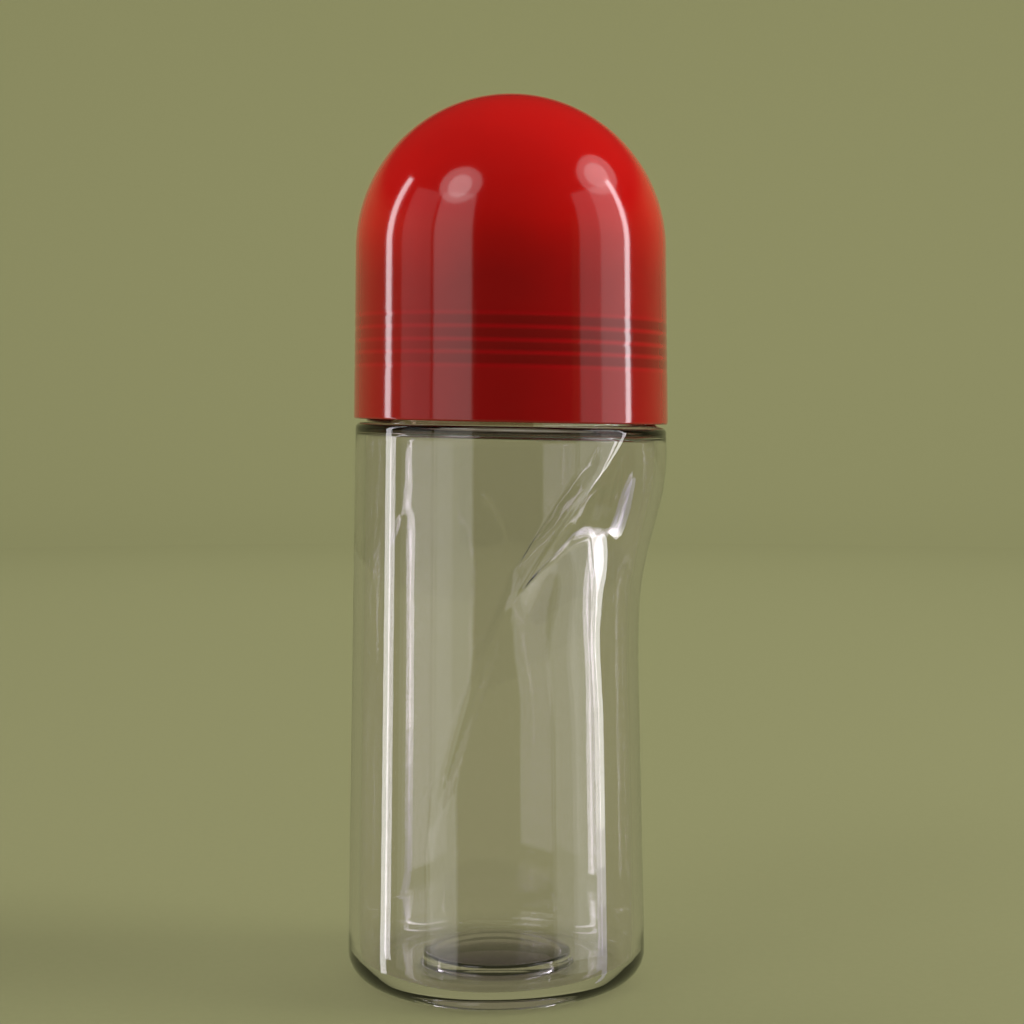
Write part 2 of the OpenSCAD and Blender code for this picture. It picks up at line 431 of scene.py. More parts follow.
    def levels(self, turns: Array, low_z: float, high_z: Array, inset: float,
               steps: tuple[int, int, int]) -> list[Array]:
        """Heights of the body's rings, which follow the ridge and the crease.

        Args:
            turns: Turn of each point, in radians.
            low_z: Height of the lowest ring.
            high_z: Height of the highest ring at each turn.
            inset: How far the surface is drawn in.
            steps: Rings below the crease, on the wall and above the ridge.

        Returns:
            The heights of each ring, from the lowest up.
        """
        held = np.clip(turns, -self.tip_turn, self.tip_turn)
        ridge_z = self.soften(np.minimum(self.crossing(held, inset, True), high_z - self.least_wall))
        crease_z = np.minimum(self.soften(self.crossing(held, inset, False)), ridge_z - self.least_wall)
        below, wall, above = (np.linspace(0, 1, count) for count in (steps[0], steps[1] + 1, steps[2] + 1))
        spans = ((low_z, crease_z, 1 - (1 - below) ** self.crowding[0]), (crease_z, ridge_z, ease(wall)[1:]),
                 (ridge_z, high_z, above[1:] ** self.crowding[1]))
        return [part_way(start, end, share) for start, end, shares in spans for share in shares]

    @staticmethod
    def soften(heights: Array) -> Array:
        """Evens out small steps between neighbours round the ring."""
        return sum(np.roll(heights, off) * math.comb(6, 3 + off) for off in range(-3, 4)) / 64


class Sheet:
    """A material's or group's node tree, with short calls to fill it."""

    def __init__(self, tree: bpy.types.NodeTree) -> None:
        """Starts with an empty tree."""
        self.tree = tree
        tree.nodes.clear()

    @classmethod
    def material(cls, name: str) -> tuple[bpy.types.Material, "Sheet"]:
        """Starts a material.

        Args:
            name: Name of the material.

        Returns:
            The material and its empty sheet.
        """
        material = bpy.data.materials.new(name)
        material.use_nodes = True
        return material, cls(material.node_tree)

    def feed(self, node: Node, inputs: dict[str | int, Source]) -> Node:
        """Gives inputs of a node their sources or values.

        Args:
            node: The node.
            inputs: A source, value or colour for each input, by its name or number.

        Returns:
            The node.
        """
        for key, source in inputs.items():
            target = node.inputs[key]
            if isinstance(source, Socket):
                self.tree.links.new(source, target)
            else:
                target.default_value = (*source, 1) if target.type == "RGBA" else source
        return node

    def add(self, kind: str, *sources: Source, **values: object) -> Node:
        """Puts in a node.

        Args:
            kind: Blender's name for the node type.
            sources: What its first inputs get, in order.
            values: Properties to set on the node.

        Returns:
            The new node.
        """
        node = self.tree.nodes.new(kind)
        for key, value in values.items():
            setattr(node, key, value)
        return self.feed(node, dict(enumerate(sources)))

    def use(self, group: bpy.types.NodeTree, inputs: dict[str | int, Source]) -> Socket:
        """Places a shared group with values of its own, and gives its result."""
        return self.feed(self.add("ShaderNodeGroup", node_tree=group), inputs).outputs[0]

    def maths(self, operation: str, *terms: Source) -> Socket:
        """The result of one step of arithmetic, by the name of the Math node's operation."""
        return self.add("ShaderNodeMath", *terms, operation=operation).outputs[0]

    def span(self, value: Socket, low: float, high: float, to_low: float = 0, to_high: float = 1,
             smooth: bool = False) -> Socket:
        """Stretches one range of values over another.

        Args:
            value: What is mapped.
            low: Start of the range that is read.
            high: End of the range that is read.
            to_low: Result at its start.
            to_high: Result at its end.
            smooth: True to ease in and out.

        Returns:
            The mapped value.
        """
        kind = "SMOOTHSTEP" if smooth else "LINEAR"
        return self.add("ShaderNodeMapRange", value, low, high, to_low, to_high, interpolation_type=kind).outputs[0]

    def mix(self, share: Source, a: Source, b: Source) -> Socket:
        """Mixes two colours, with this share of the second."""
        return self.feed(self.add("ShaderNodeMix", data_type="RGBA"), {0: share, 6: a, 7: b}).outputs[2]

    def blend(self, share: Socket, a: Socket, b: Socket) -> Socket:
        """Mixes two shaders, with this share of the second."""
        return self.add("ShaderNodeMixShader", share, a, b).outputs[0]

    def ray(self, kind: str) -> Socket:
        """What the Light Path node says of the ray."""
        return self.add("ShaderNodeLightPath").outputs[kind]

    def noise(self, place: Socket, scale: Source, detail: float = 2, roughness: float = 0.5) -> Socket:
        """Soft random values of about 0 to 1, with so many features per metre and so many finer layers."""
        node = self.add("ShaderNodeTexNoise", place)
        return self.feed(node, {"Scale": scale, "Detail": detail, "Roughness": roughness}).outputs["Fac"]

    def place(self, stretch: Colour = (1, 1, 1)) -> Socket:
        """Place on the object, in metres, stretched along each axis."""
        node = self.add("ShaderNodeMapping", self.add("ShaderNodeTexCoord").outputs["Object"])
        return self.feed(node, {"Scale": stretch}).outputs["Vector"]

    def parts(self, vector: Socket) -> bpy.types.NodeOutputs:
        """The three parts of a vector."""
        return self.add("ShaderNodeSeparateXYZ", vector).outputs

    def close(self, surface: Socket) -> None:
        """Leads a surface to the material's output."""
        self.add("ShaderNodeOutputMaterial", surface)


class SurfaceGroups:
    """Node groups that several finishes share. Each is built once."""

    RUB_STRETCHES = ((1, 1, 0.035), (0.05, 1, 0.8))
    RUB_STEPS = ((0.64, 0.72), (0.68, 0.76))
    PATCHES_PER_METRE = 70
    PATCH_STEP = (0.42, 0.66)

    def __init__(self) -> None:
        """Builds the groups."""
        self.ripple = self.build_ripple()
        self.rubbing = self.build_rubbing()
        self.specks = self.build_specks()

    @staticmethod
    def start(name: str, inputs: dict[str, float], output: str) -> tuple[Sheet, dict[str, Socket], Node]:
        """Starts a group.

        Args:
            name: Name of the group.
            inputs: Its value inputs, with their usual values.
            output: Its value output.

        Returns:
            The sheet to fill, the group's input sockets by name and its output node.
        """
        tree = bpy.data.node_groups.new(name, "ShaderNodeTree")
        sheet = Sheet(tree)
        for key, value in inputs.items():
            tree.interface.new_socket(key, in_out="INPUT", socket_type="NodeSocketFloat").default_value = value
        tree.interface.new_socket(output, in_out="OUTPUT", socket_type="NodeSocketFloat")
        entry = sheet.add("NodeGroupInput")
        return sheet, {key: entry.outputs[key] for key in inputs}, sheet.add("NodeGroupOutput")

    def build_ripple(self) -> bpy.types.NodeTree:
        """Faint unevenness that a polished mould leaves: a slow wave and a finer one.

        Returns:
            The group.
        """
        sheet, given, out = self.start("moulding_ripple", {"Waves per metre": 60, "Fine share": 0.2}, "Height")
        place = sheet.place((1, 1, 0.4))
        slow = sheet.noise(place, given["Waves per metre"], 1)
        fine = sheet.noise(place, sheet.maths("MULTIPLY", given["Waves per metre"], 9.0), 2)
        fine = sheet.maths("MULTIPLY", fine, given["Fine share"])
        sheet.feed(out, {"Height": sheet.maths("ADD", slow, fine)})
        return sheet.tree

    def build_rubbing(self) -> bpy.types.NodeTree:
        """Hair-fine rub marks, in patches, mostly upright.

        Returns:
            The group.
        """
        sheet, given, out = self.start("handling_rubs", {"Marks per metre": 900, "Amount": 0.5}, "Mask")
        upright, slanted = (sheet.span(sheet.noise(sheet.place(stretch), given["Marks per metre"], 2, 0.7), *step)
                            for stretch, step in zip(self.RUB_STRETCHES, self.RUB_STEPS))
        marks = sheet.maths("MAXIMUM", upright, slanted)
        patches = sheet.span(sheet.noise(sheet.place(), self.PATCHES_PER_METRE, 2), *self.PATCH_STEP, smooth=True)
        mask = sheet.maths("MULTIPLY", sheet.maths("MULTIPLY", marks, patches), given["Amount"])
        sheet.feed(out, {"Mask": mask})
        return sheet.tree

    def build_specks(self) -> bpy.types.NodeTree:
        """A few tiny specks, such as dust and pips in the plastic.

        Returns:
            The group.
        """
        sheet, given, out = self.start("fine_specks", {"Cells per metre": 160, "Size": 0.05, "Share": 0.1}, "Mask")
        cells = sheet.add("ShaderNodeTexVoronoi", sheet.place(), feature="F1")
        sheet.feed(cells, {"Scale": given["Cells per metre"]})
        split = sheet.add("ShaderNodeSeparateColor", cells.outputs["Color"])
        near = sheet.maths("LESS_THAN", cells.outputs["Distance"], given["Size"])
        chosen = sheet.maths("LESS_THAN", split.outputs[0], given["Share"])
        sheet.feed(out, {"Mask": sheet.maths("MULTIPLY", near, chosen)})
        return sheet.tree


@dataclass(frozen=True)
class Finish:
    """What every finish of the bottle has: rippled, slightly rubbed moulded plastic."""

    name: str
    colour: Colour
    roughness: float
    ior: float = 1.49
    ripple_waves: float = 60.0
    ripple_height: float = 0.02
    rubs: float = 0.5
    rub_roughness: float = 0.12
    rub_relief: float = 0.1
    speck_size: float = 0.05
    speck_share: float = 0.08

    def material(self, groups: SurfaceGroups) -> bpy.types.Material:
        """Makes the material.

        Args:
            groups: The shared node groups.

        Returns:
            The finished material.
        """
        material, sheet = Sheet.material(self.name)
        ripple = sheet.use(groups.ripple, {"Waves per metre": self.ripple_waves})
        rubs = sheet.use(groups.rubbing, {"Amount": self.rubs})
        specks = sheet.use(groups.specks, {"Size": self.speck_size, "Share": self.speck_share})
        marks = sheet.maths("MAXIMUM", rubs, specks)
        height = sheet.maths("ADD", ripple, sheet.maths("MULTIPLY", marks, self.rub_relief))
        bump = sheet.feed(sheet.add("ShaderNodeBump"), {
            "Strength": 1,
            "Distance": self.ripple_height * MM,
            "Height": height,
        })
        shader = sheet.feed(sheet.add("ShaderNodeBsdfPrincipled"), {
            "Base Color": self.colour,
            "IOR": self.ior,
            "Roughness": sheet.maths("ADD", sheet.maths("MULTIPLY", marks, self.rub_roughness), self.roughness),
            "Normal": bump.outputs["Normal"],
        })
        sheet.close(self.finish(sheet, shader))
        return material

    def finish(self, sheet: Sheet, shader: Node) -> Socket:
        """Adds what a finish has of its own to the Principled shader, and gives the surface."""
        return shader.outputs[0]


@dataclass(frozen=True)
class ClearPlastic(Finish):
    """Clear moulded plastic, which lets lamps light what is inside it, with painted shade on the bottom's boss and on
    the neck's bead.
    """

    shadow_tint: Colour = (0.93, 0.925, 0.94)
    # Painted shade: the bottom's boss is coloured dark purple-grey, for the shade seen through it.
    painted_boss_shade: Colour = (0.42, 0.35, 0.50)
    boss_shade_x: float = -1.8
    boss_shade_r: float = 8.6
    boss_shade_fade: float = 0.6
    boss_shade_top_z: float = 5.2
    # Painted shade: the neck's bead under the cap's rim is coloured dark brown, for the shade under the cap.
    painted_bead_shade: Colour = (0.45, 0.35, 0.28)
    bead_low_z: float = 68.9
    bead_high_z: float = 71.2
    bead_r: float = 18.3

    def finish(self, sheet: Sheet, shader: Node) -> Socket:
        """Makes it clear, paints shade on the bottom's boss and on the neck's bead, and lets light through.

        Args:
            sheet: The material's sheet.
            shader: The Principled shader.

        Returns:
            The surface.
        """
        # Painted shade on the boss: within its radius and below its top, the colour turns dark purple-grey.
        x, y, z = sheet.parts(sheet.place())
        off = sheet.maths("SUBTRACT", x, self.boss_shade_x * MM)
        reach = sheet.maths("SQRT", sheet.maths("ADD", sheet.maths("POWER", off, 2.0), sheet.maths("POWER", y, 2.0)))
        inside = sheet.span(reach, self.boss_shade_r * MM, (self.boss_shade_r + self.boss_shade_fade) * MM, 1, 0, smooth=True)
        low = sheet.maths("LESS_THAN", z, self.boss_shade_top_z * MM)
        colour = sheet.mix(sheet.maths("MULTIPLY", inside, low), self.colour, self.painted_boss_shade)
        # Painted shade on the neck's bead, within its heights and radius.
        in_bead_shade = sheet.maths("MULTIPLY", sheet.maths("GREATER_THAN", z, self.bead_low_z * MM),
                              sheet.maths("LESS_THAN", z, self.bead_high_z * MM))
        in_bead_shade = sheet.maths("MULTIPLY", in_bead_shade, sheet.maths("LESS_THAN", reach, self.bead_r * MM))
        sheet.feed(shader, {"Base Color": sheet.mix(in_bead_shade, colour, self.painted_bead_shade), "Transmission Weight": 1})
        passed = sheet.add("ShaderNodeBsdfTransparent", self.shadow_tint)
        return sheet.blend(sheet.ray("Is Shadow Ray"), shader.outputs[0], passed.outputs[0])


@dataclass(frozen=True)
class DyedPlastic(Finish):
    """Glossy dyed plastic, slightly mottled, with painted shade low on the cap and between the thread's rings, and
    painted highlights on the rings.
    """

    # Painted shade: the lower cap is darker than its dome, for the light that falls on the top.
    painted_low_shade: Colour = (0.37, 0.006, 0.006)
    # Painted highlight on the ring lines.
    painted_line_highlight: Colour = (0.44, 0.005, 0.007)
    # Painted shade between the rings, stronger towards +X.
    painted_band_shade: Colour = (0.24, 0.007, 0.006)
    shade_fade_low_z: float = 84.5
    shade_fade_high_z: float = 95.5
    mottle_waves: float = 120
    mottle: float = 0.12
    line_heights: tuple[float, ...] = RING_HEIGHTS
    line_slope: float = 0.02
    line_half_w: float = 0.45
    foot_fade: Pair = (-0.3, 0.4)
    top_fade: Pair = (-0.5, 0.3)
    band_shade_x: Pair = (-15.0, 4.0)
    band_shade_share: Pair = (0.35, 0.95)

    def finish(self, sheet: Sheet, shader: Node) -> Socket:
        """Paints shade low on the cap and between the rings, paints highlights on the rings, and mottles it.

        Args:
            sheet: The material's sheet.
            shader: The Principled shader.

        Returns:
            The surface.
        """
        place = sheet.place()
        x, _, z = sheet.parts(place)
        # Painted shade: darker from the dome down towards the rim.
        lit_share = sheet.span(z, self.shade_fade_low_z * MM, self.shade_fade_high_z * MM, smooth=True)
        mottle = sheet.span(sheet.noise(place, self.mottle_waves, 3), *NOISE_RANGE, -self.mottle, self.mottle)
        colour = sheet.mix(sheet.maths("ADD", lit_share, mottle), self.painted_low_shade, self.colour)
        level = sheet.maths("MULTIPLY_ADD", x, self.line_slope, z)
        foot, top = ([(edge(self.line_heights) + off) * MM for off in fade]
                     for edge, fade in ((min, self.foot_fade), (max, self.top_fade)))
        band = sheet.maths("MULTIPLY", sheet.span(level, *foot, smooth=True),
                           sheet.span(level, *top, 1, 0, smooth=True))
        # Painted shade in the ring band, stronger towards +X.
        side = sheet.span(x, *(reach * MM for reach in self.band_shade_x), *self.band_shade_share, smooth=True)
        colour = sheet.mix(sheet.maths("MULTIPLY", band, side), colour, self.painted_band_shade)
        # Painted highlight on the ring lines.
        sheet.feed(shader, {"Base Color": sheet.mix(self.lines(sheet, level), colour, self.painted_line_highlight)})
        return shader.outputs[0]

    def lines(self, sheet: Sheet, level: Socket) -> Socket:
        """Marks the lines that get a painted highlight, where the thread's faint rings catch the light.

        Args:
            sheet: The material's sheet.
            level: Height on the cap, in metres, along the lines' slope.

        Returns:
            A mask that is 1 on the lines.
        """
        mask = 0.0
        for middle in self.line_heights:
            off = sheet.maths("ABSOLUTE", sheet.maths("SUBTRACT", level, middle * MM))
            mask = sheet.maths("MAXIMUM", sheet.span(off, 0, self.line_half_w * MM, 1, 0, smooth=True), mask)
        return mask


@dataclass(frozen=True)
class NaturalPlastic(Finish):
    """Undyed, slightly milky plastic."""

    milkiness: float = 0.35
    scatter_mm: float = 1.2
    cloud_waves: float = 90
    cloud_shade: float = 0.94

    def finish(self, sheet: Sheet, shader: Node) -> Socket:
        """Lets light spread a little under the surface, and clouds the colour.

        Args:
            sheet: The material's sheet.
            shader: The Principled shader.

        Returns:
            The surface.
        """
        cloud = sheet.span(sheet.noise(sheet.place(), self.cloud_waves, 3), *NOISE_RANGE)
        shade = tuple(part * self.cloud_shade for part in self.colour)
        sheet.feed(shader, {
            "Base Color": sheet.mix(cloud, shade, self.colour),
            "Subsurface Weight": self.milkiness,
            "Subsurface Radius": (1, 1, 0.9),
            "Subsurface Scale": self.scatter_mm * MM,
        })
        return shader.outputs[0]


def dress(piece: bpy.types.Object, finish: Finish, groups: SurfaceGroups, body: str, node: str) -> None:
    """Gives a piece its finish and its place in the frame, and reports it.

    Args:
        piece: The new piece.
        finish: Its finish.
        groups: The shared node groups.
        body: The body that it rides on.
        node: The CAD node that it stands for.
    """
    piece.data.materials.append(finish.material(groups))
    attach(piece, body)
    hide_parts(node)
    log.info("%s: %d faces, for node %s on body %s", piece.name, len(piece.data.polygons), node, body)


@dataclass
class Bottle:
    """The clear bottle: scooped body, pushed-up bottom, shoulder and threaded neck in one moulding."""

    form: ScoopedForm = field(default_factory=ScoopedForm)
    wall: float = 1.3
    base_corner_r: float = 3.5
    shoulder_edge_r: float = 0.7
    shoulder_t: float = 0.75
    shoulder_slope: float = 0.018
    shoulder_lift: float = 0.1
    inner_shoulder_r: float = 0.9
    floor_t: float = 1.8
    punt_r: float = 9.3
    punt_h: float = 1.7
    punt_crown: float = 0.6
    punt_shift: float = 1.8
    punt_edge_r: float = 0.5
    crown_start: float = 0.08
    neck_r: float = 16.588
    bore_r: float = 14.988
    neck_top_z: float = 82.4
    neck_fillet_r: float = 0.6
    neck_edge_r: float = 0.35
    bead_r: float = 17.95
    bead_low_z: float = 69.0
    bead_high_z: float = 70.7
    bead_edge_r: float = 0.3
    bead_foot: Pair = (0.02, 0.03)
    recess_edge_r: float = 0.3
    scooped_turn: float = math.radians(118)
    thread: Thread = Thread(start_z=74.4, depth=0.8)
    finish: ClearPlastic = ClearPlastic("clear_purple_grey_plastic", (0.94, 0.915, 0.957), 0.015, ior=1.53,
                                        ripple_waves=45, ripple_height=0.012, rubs=0.35, rub_roughness=0.08,
                                        speck_share=0.1)

    def turns(self) -> Array:
        """Turns of the points round a ring, closer together on the scooped side.

        Returns:
            The turn of each point, in radians.
        """
        front = np.linspace(-self.scooped_turn, self.scooped_turn, 237)
        back = np.linspace(self.scooped_turn, FULL_TURN - self.scooped_turn, 51)[1:-1]
        return np.concatenate([front, (back + math.pi) % FULL_TURN - math.pi])

    def crowned(self, skin: Skin, radius: float, edge_z: float, outwards: bool) -> None:
        """Adds the rings of a crowned disc round the bottom's boss.

        Args:
            skin: The skin to add to.
            radius: Radius of the disc.
            edge_z: Height of its edge.
            outwards: True from the middle out, False from the edge in.
        """
        ball_r = (radius**2 + self.punt_crown**2) / (2 * self.punt_crown)
        radii = np.linspace(self.crown_start, 1, 9) * radius
        for r in radii if outwards else radii[::-1]:
            skin.add(r, edge_z + self.punt_crown - ball_r + across(ball_r, r), -self.punt_shift)

    def build(self) -> bpy.types.Object:
        """Makes the bottle's mesh, from the middle of its underside out, up, and in again.

        Returns:
            The bottle.
        """
        crowns = (self.punt_h + self.punt_crown, self.floor_t + self.punt_h + self.punt_crown)
        skin = Skin("clear_bottle", self.turns(), tuple((-self.punt_shift, 0, height) for height in crowns))
        for add_part in (self.add_underside, self.add_outside, self.add_neck, self.add_inside, self.add_floor):
            add_part(skin)
        return skin.build()

    def add_underside(self, skin: Skin) -> None:
        """Adds the recess under the boss and the flat ring that the bottle stands on.

        Args:
            skin: The skin to add to.
        """
        recess_r, recess_z, edge, shift = self.punt_r - self.wall, self.punt_h, self.recess_edge_r, -self.punt_shift
        self.crowned(skin, recess_r - edge, recess_z, True)
        skin.bend(recess_r - edge, recess_z - edge, edge, (67.5, 0), 3, centre_x=shift)
        skin.bend(recess_r + edge, edge, edge, (180, 270), 4, centre_x=shift)
        skin.reach(self.form.radius(skin.turns, self.base_corner_r) - self.base_corner_r, 0, 5)

    def add_outside(self, skin: Skin) -> None:
        """Adds the base corner, the scooped body and the shoulder.

        Args:
            skin: The skin to add to.
        """
        corner_r, edge = self.base_corner_r, self.shoulder_edge_r
        high_z = self.leaning(skin.turns, self.form.shoulder_z - edge)
        skin.bend(self.form.radius(skin.turns, corner_r) - corner_r, corner_r, corner_r, (-81, -9), 8)
        for heights in self.form.levels(skin.turns, corner_r, high_z, 0, (52, 20, 26)):
            skin.add(self.form.radius(skin.turns, heights), heights)
        skin.bend(self.form.radius(skin.turns, high_z) - edge, high_z, edge, (18, 90), 4)

    def leaning(self, turns: Array, height: float) -> Array:
        """Heights round the shoulder, which leans a little as the cap's rim does."""
        return height + self.shoulder_lift - self.shoulder_slope * self.form.top_r * np.cos(turns)

    def add_neck(self, skin: Skin) -> None:
        """Adds the neck with its thread, down to the end of its bore.

        Args:
            skin: The skin to add to.
        """
        fillet, edge, bead_edge = self.neck_fillet_r, self.neck_edge_r, self.bead_edge_r
        foot_z, top_z = self.bead_high_z + fillet, self.neck_top_z - edge
        bore_end_z = self.form.shoulder_z - self.shoulder_t + edge
        skin.reach(self.bead_r + self.bead_foot[0], self.bead_low_z, 2)
        skin.add(self.bead_r, self.bead_low_z + self.bead_foot[1])
        skin.bend(self.bead_r - bead_edge, self.bead_high_z - bead_edge, bead_edge, (0, 90), 4)
        skin.bend(self.neck_r + fillet, foot_z, fillet, (270, 180), 4)
        for height in np.linspace(foot_z, top_z, 58)[1:]:
            skin.add(self.neck_r + self.thread.rise(skin.turns, height), height)
        skin.bend(self.neck_r - edge, top_z, edge, (30, 90), 2)
        skin.bend(self.bore_r + edge, top_z, edge, (90, 180), 3)
        skin.reach(self.bore_r, bore_end_z, 8)
        skin.bend(self.bore_r + edge, bore_end_z, edge, (210, 270), 2)

    def add_inside(self, skin: Skin) -> None:
        """Adds the inside of the shoulder, the body and the bottom's corner.

        Args:
            skin: The skin to add to.
        """
        corner_r, low_r = self.inner_shoulder_r, self.base_corner_r - self.wall
        low_z = self.floor_t + low_r
        high_z = self.leaning(skin.turns, self.form.shoulder_z - self.shoulder_t - corner_r)
        top_r = self.form.radius(skin.turns, high_z, self.wall) - corner_r
        skin.reach(top_r, high_z + corner_r, 3)
        skin.bend(top_r, high_z, corner_r, (72, 18), 3)
        for heights in self.form.levels(skin.turns, low_z, high_z, self.wall, (38, 16, 20))[::-1]:
            skin.add(self.form.radius(skin.turns, heights, self.wall), heights)
        skin.bend(self.form.radius(skin.turns, low_z, self.wall) - low_r, low_z, low_r, (-11.25, -90), 7)

    def add_floor(self, skin: Skin) -> None:
        """Adds the floor and the crowned boss in it.

        Args:
            skin: The skin to add to.
        """
        edge, shift, boss_z = self.punt_edge_r, -self.punt_shift, self.floor_t + self.punt_h
        skin.reach(self.punt_r + edge, self.floor_t, 4, shift)
        skin.bend(self.punt_r + edge, self.floor_t + edge, edge, (247.5, 180), 3, centre_x=shift)
        skin.bend(self.punt_r - edge, boss_z - edge, edge, (0, 67.5), 3, centre_x=shift)
        self.crowned(skin, self.punt_r - edge, boss_z, False)


@dataclass
class BallHousing:
    """The snap-in housing: socket with a rounded lip, flange, plug skirt, feed hole and feed slots."""

    centre_z: float = 88.0
    socket_r: float = 14.65
    shell_r: float = 16.05
    lip_z: float = 93.01
    lip_edge_r: float = 0.45
    flange_low_z: float = 82.4
    flange_high_z: float = 83.6
    flange_r: float = 16.388
    flange_edge_r: float = 0.25
    skirt_foot_z: float = 73.4
    skirt_out_r: float = 14.938
    skirt_in_r: float = 13.838
    hole_r: float = 5.0
    slot_count: int = 6
    slot_half_w: float = 0.6
    slot_end_r: float = 7.2
    slot_points: tuple[int, int] = (7, 26)
    slot_side_turn: float = 0.004
    lip_bevel: tuple[Pair, ...] = ((0.02, 0.22), (0.12, 0.07), (0.3, 0.0))
    lip_gap: float = 0.3
    socket_top_gap: float = 0.5
    socket_seam: float = 0.02
    finish: NaturalPlastic = NaturalPlastic("natural_satin_plastic", (0.84, 0.84, 0.81), 0.3, ripple_waves=80,
                                            ripple_height=0.01, rubs=0.4)

    def turns(self) -> Array:
        """Turns of the points round a ring, with a sharp pair at each side of a feed slot.

        Returns:
            The turn of each point, in radians.
        """
        half, spread = math.asin(self.slot_half_w / self.hole_r), FULL_TURN / self.slot_count
        side, (across_slot, beside_slot) = half + self.slot_side_turn, self.slot_points
        one = np.concatenate([np.linspace(-half, half, across_slot), np.linspace(side, spread - side, beside_slot)])
        return np.concatenate([one + spread * i for i in range(self.slot_count)])

    def build(self) -> bpy.types.Object:
        """Makes the housing's mesh as one loop of rings.

        Returns:
            The housing.
        """
        skin, edge, lip = Skin("ball_housing_moulding", self.turns()), self.flange_edge_r, self.lip_edge_r
        skin.bend(across(self.shell_r, self.lip_z - lip - self.centre_z) - lip, self.lip_z - lip, lip, (90, 10), 5)
        for height in np.linspace(self.lip_z - lip - self.lip_gap, self.flange_high_z, 16):
            skin.add(across(self.shell_r, height - self.centre_z), height)
        skin.bend(self.flange_r - edge, self.flange_high_z - edge, edge, (90, 0), 3)
        skin.bend(self.flange_r - edge, self.flange_low_z + edge, edge, (0, -90), 3)
        skin.add(self.skirt_out_r, self.flange_low_z)
        skin.bend(self.skirt_out_r - edge, self.skirt_foot_z + edge, edge, (0, -90), 3)
        skin.bend(self.skirt_in_r + edge, self.skirt_foot_z + edge, edge, (270, 180), 3)
        hole = np.tile(np.repeat((self.slot_end_r, self.hole_r), self.slot_points), self.slot_count)
        for ball_r, start, end, steps in ((self.shell_r, self.skirt_in_r, hole, 11),
                                          (self.socket_r, hole, self.socket_r - self.socket_seam, 13)):
            for share in np.linspace(0, 1, steps):
                out = part_way(start, end, share)
                skin.add(out, self.centre_z - across(ball_r, out))
        for height in np.linspace(self.centre_z, self.lip_z - self.socket_top_gap, 9):
            skin.add(across(self.socket_r, height - self.centre_z), height)
        lip_in = across(self.socket_r, self.lip_z - self.lip_gap - self.centre_z)
        for out, down in self.lip_bevel:
            skin.add(lip_in + out, self.lip_z - down)
        return skin.build()


@dataclass
class RollerBall:
    """The ball, with the fine seam that its two-part mould leaves."""

    centre_z: float = 88.0
    radius: float = 14.5
    seam_depth: float = 0.02
    seam_half_w: float = 0.12
    finish: NaturalPlastic = NaturalPlastic("polished_white_ball_plastic", (0.86, 0.86, 0.84), 0.09, milkiness=0.15,
                                            ripple_waves=50, ripple_height=0.004, rubs=0.35, rub_roughness=0.1)

    def build(self) -> bpy.types.Object:
        """Makes the ball from rings round X, with its seam in the middle.

        Returns:
            The ball.
        """
        poles = ((-self.radius, 0, self.centre_z), (self.radius, 0, self.centre_z))
        skin = Skin("roller_ball_moulding", even_turns(144), poles)
        edge = math.degrees(self.seam_half_w / self.radius)
        lats = np.concatenate([np.linspace(-88, -2, 44), np.linspace(-edge * 2, edge * 2, 9), np.linspace(2, 88, 44)])
        for lat in lats:
            radius = self.radius - self.seam_depth * ease(1 - abs(lat) / edge)
            out, along = radius * math.cos(math.radians(lat)), radius * math.sin(math.radians(lat))
            skin.rings.append(ring(skin.turns, out, along)[:, [2, 0, 1]] + (0, 0, self.centre_z))
        return skin.build()


@dataclass
class CapLiner:
    """The inner dome, with the ring that closes on the ball."""

    dome_z: float = 90.6
    out_r: float = 17.788
    in_r: float = 16.888
    rim_z: float = 89.9
    ring_in_r: float = 9.6
    ring_out_r: float = 10.6
    ball_z: float = 88.0
    ring_foot_r: float = 14.7
    first_r: float = 0.6
    ring_edge_r: float = 0.1
    foot_lifts: Pair = (0.25, 0.06)
    root_drops: tuple[float, float, float] = (0.1, 0.4, 0.15)
    rim_flat: float = 0.6
    finish: NaturalPlastic = NaturalPlastic("natural_soft_plastic", (0.84, 0.84, 0.82), 0.4, ripple_waves=70,
                                            ripple_height=0.01, rubs=0.3)

    def build(self) -> bpy.types.Object:
        """Makes the liner's mesh, from the top of its inside down and round to the top of its outside.

        Returns:
            The liner.
        """
        poles = ((0, 0, self.dome_z + self.in_r), (0, 0, self.dome_z + self.out_r))
        skin = Skin("cap_liner_moulding", even_turns(144), poles)
        inner, outer, edge = self.ring_in_r, self.ring_out_r, self.ring_edge_r
        near, deep, far = self.root_drops
        for out in np.linspace(self.first_r, inner - deep, 10):
            skin.add(out, self.dome_z + across(self.in_r, out))
        for out, root_r, drop in ((inner - edge, inner, near), (inner, inner, deep)):
            skin.add(out, self.dome_z + across(self.in_r, root_r) - drop)
        for out, lift in zip((inner, inner + edge, outer - edge, outer), (*self.foot_lifts, *self.foot_lifts[::-1])):
            skin.add(out, self.ball_z + across(self.ring_foot_r, out) + lift)
        for out, root_r, drop in ((outer, outer, deep), (outer + edge, outer, far)):
            skin.add(out, self.dome_z + across(self.in_r, root_r) - drop)
        skin.bend(0, self.dome_z, self.in_r, (48, 0), 13)
        half = (self.out_r - self.in_r) / 2
        skin.bend((self.in_r + self.out_r) / 2, self.rim_z + half * self.rim_flat, half, (180, 360), 6, self.rim_flat)
        skin.bend(0, self.dome_z, self.out_r, (0, 88), 29)
        return skin.build()


